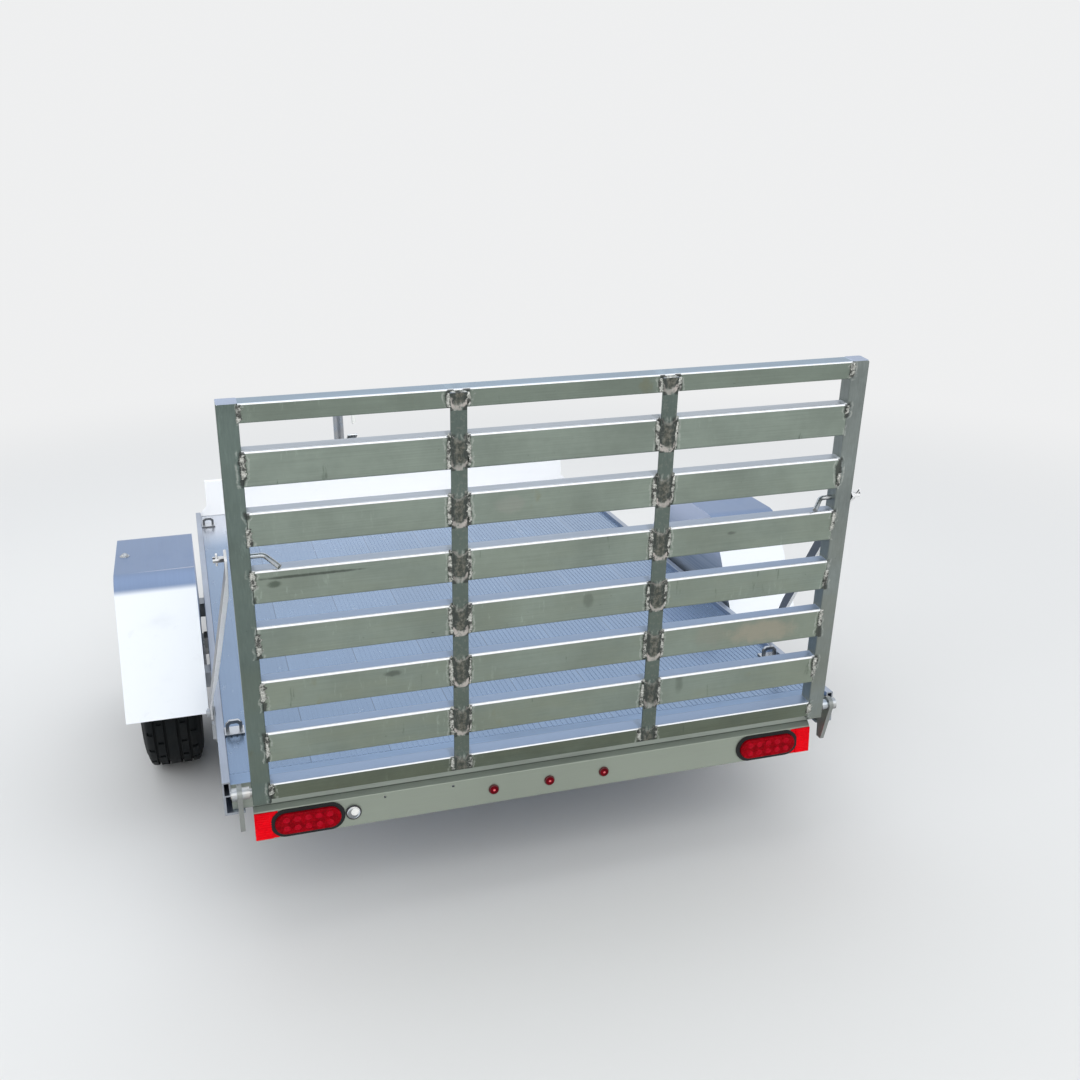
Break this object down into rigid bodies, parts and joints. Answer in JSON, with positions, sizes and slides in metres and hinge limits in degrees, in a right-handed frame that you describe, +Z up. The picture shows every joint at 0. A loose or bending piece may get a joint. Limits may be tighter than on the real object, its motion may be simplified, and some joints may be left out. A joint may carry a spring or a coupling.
{
  "type": "utility trailer",
  "caption": "Open single-axle utility trailer with a ribbed plank deck, box fenders, a slatted rear ramp gate on support arms and a tongue jack.",
  "frame": {"origin": "on the ground below the middle of the whole length, from the leaning gate's top to the coupler's nose, on the centre line", "axes": "+X to the trailer's right, +Y forward along the tongue, +Z up from the ground"},
  "size_m": [2.168, 3.902, 1.4114],
  "materials": {
    "rail_aluminium": "extruded mill finish, satin",
    "frame_aluminium": "mill finish, satin, with weld soot",
    "deck_aluminium": "ribbed mill finish that mirrors the sky softly",
    "bright_sheet": "bright rolled sheet",
    "channel_aluminium": "satin, cleaner than the gate",
    "gate_aluminium": "dull mill finish with chalky smears and weld soot",
    "bright_bar": "bright flat bar",
    "zinc_steel": "bright zinc plating",
    "galvanised_steel": "galvanised, matt",
    "hub_iron": "painted casting",
    "silver_rim": "silver paint, semi-gloss",
    "tyre_rubber": "matt black rubber",
    "black_rubber": "matt black rubber",
    "red_lens": "clear red lens over rows of light emitters",
    "reflector_red": "ribbed red reflector",
    "chrome_lamp": "small chrome lamp hood",
    "white_plastic": "pale moulded grip"
  },
  "bodies": {
    "trailer": {"side_rail_left": "rail_aluminium", "side_rail_right": "rail_aluminium", "cross_beams": "frame_aluminium", "rear_cross_member": "frame_aluminium", "front_cross_member": "frame_aluminium", "deck_planks": "deck_aluminium", "front_wall": "bright_sheet", "lamp_channel": "channel_aluminium", "tail_lamps": "red_lens", "lamp_grommets": "black_rubber", "marker_lamps": "red_lens", "plate_lamp": "chrome_lamp", "rear_reflectors": "reflector_red", "hinge_ears": "frame_aluminium", "hinge_pins": "zinc_steel", "arm_pivots": "frame_aluminium", "axle_beam": "galvanised_steel", "torsion_arm_left": "galvanised_steel", "torsion_arm_right": "galvanised_steel", "fender_left": "bright_sheet", "fender_right": "bright_sheet", "fender_stays": "frame_aluminium", "tongue_beam": "frame_aluminium", "tongue_braces": "frame_aluminium", "coupler": "zinc_steel", "coupler_latch": "zinc_steel", "jack_tube": "zinc_steel", "jack_bracket": "zinc_steel", "jack_crank": "zinc_steel", "crank_grip": "white_plastic", "tie_downs": "frame_aluminium"},
    "gate": {"gate_post_left": "gate_aluminium", "gate_post_right": "gate_aluminium", "gate_mid_posts": "gate_aluminium", "gate_bottom_rail": "gate_aluminium", "gate_top_rail": "gate_aluminium", "gate_slats": "gate_aluminium", "gate_latch_left": "zinc_steel", "gate_latch_right": "zinc_steel"},
    "arm_left": {"support_arm_left": "bright_bar"},
    "arm_right": {"support_arm_right": "bright_bar"},
    "wheel_left": {"tyre_left": "tyre_rubber", "rim_left": "silver_rim", "hub_left": "hub_iron"},
    "wheel_right": {"tyre_right": "tyre_rubber", "rim_right": "silver_rim", "hub_right": "hub_iron"},
    "jack_foot": {"jack_leg": "zinc_steel"}
  },
  "joints": [
    {"name": "gate_hinge", "type": "hinge", "parent": "trailer", "child": "gate", "pos_m": [0, -1.81686, 0.43], "axis": [1, 0, 0], "range_deg": [0, 107.5]},
    {"name": "arm_left_fold", "type": "hinge", "parent": "trailer", "child": "arm_left", "pos_m": [-0.838, -1.34586, 0.433], "axis": [-1, 0, 0], "range_deg": [0, 108]},
    {"name": "arm_right_fold", "type": "hinge", "parent": "trailer", "child": "arm_right", "pos_m": [0.838, -1.34586, 0.433], "axis": [-1, 0, 0], "range_deg": [0, 108]},
    {"name": "wheel_left_spin", "type": "hinge", "parent": "trailer", "child": "wheel_left", "pos_m": [-0.967, -0.69686, 0.305], "axis": [1, 0, 0], "continuous": true},
    {"name": "wheel_right_spin", "type": "hinge", "parent": "trailer", "child": "wheel_right", "pos_m": [0.967, -0.69686, 0.305], "axis": [1, 0, 0], "continuous": true},
    {"name": "jack_slide", "type": "slide", "parent": "trailer", "child": "jack_foot", "axis": [0, 0, 1], "range_m": [0, 0.25]}
  ]
}
